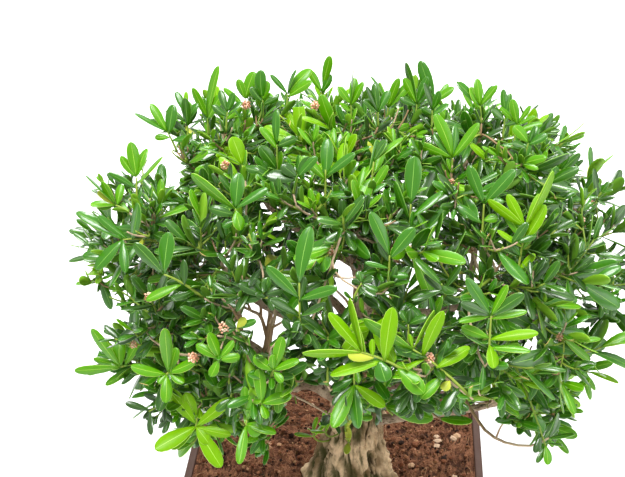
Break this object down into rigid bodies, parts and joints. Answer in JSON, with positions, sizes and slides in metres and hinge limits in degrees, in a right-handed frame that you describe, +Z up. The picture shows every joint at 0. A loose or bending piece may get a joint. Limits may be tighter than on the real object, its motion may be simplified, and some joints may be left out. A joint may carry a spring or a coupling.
{
  "type": "potted boxwood bonsai tree",
  "caption": "Boxwood bonsai with a broad low dome of narrow leaves on forking boughs, a squat trunk with a ridged root flare, and a plain square brown pot filled with soil.",
  "frame": {"origin": "middle of the pot's flat underside, on the surface that it stands on", "axes": "+Z up, -Y towards the front of the tree, +X to its right seen from the front"},
  "size_m": [0.3796, 0.3501, 0.4181],
  "materials": {
    "pot": "unglazed brown clay, matt",
    "soil": "reddish brown fibrous potting soil, rough",
    "bark": "pale tan ridged bark, matt",
    "foliage": "glossy narrow evergreen leaves"
  },
  "bodies": {
    "root": {"bough_back": "bark", "bough_back_left": "bark", "bough_back_low": "bark", "bough_back_right": "bark", "bough_front": "bark", "bough_front_left": "bark", "bough_front_left_low": "bark", "bough_front_right": "bark", "bough_front_top": "bark", "bough_leader": "bark", "bough_left": "bark", "bough_left_low": "bark", "bough_right": "bark", "bough_right_low": "bark", "bough_top_left": "bark", "bough_top_right": "bark", "foliage_back": "foliage", "foliage_back_left": "foliage", "foliage_back_low": "foliage", "foliage_back_right": "foliage", "foliage_front": "foliage", "foliage_front_left": "foliage", "foliage_front_left_low": "foliage", "foliage_front_right": "foliage", "foliage_front_top": "foliage", "foliage_leader": "foliage", "foliage_left": "foliage", "foliage_left_low": "foliage", "foliage_right": "foliage", "foliage_right_low": "foliage", "foliage_top_left": "foliage", "foliage_top_right": "foliage", "pot": "pot", "soil": "soil", "trunk": "bark"}
  },
  "joints": []
}
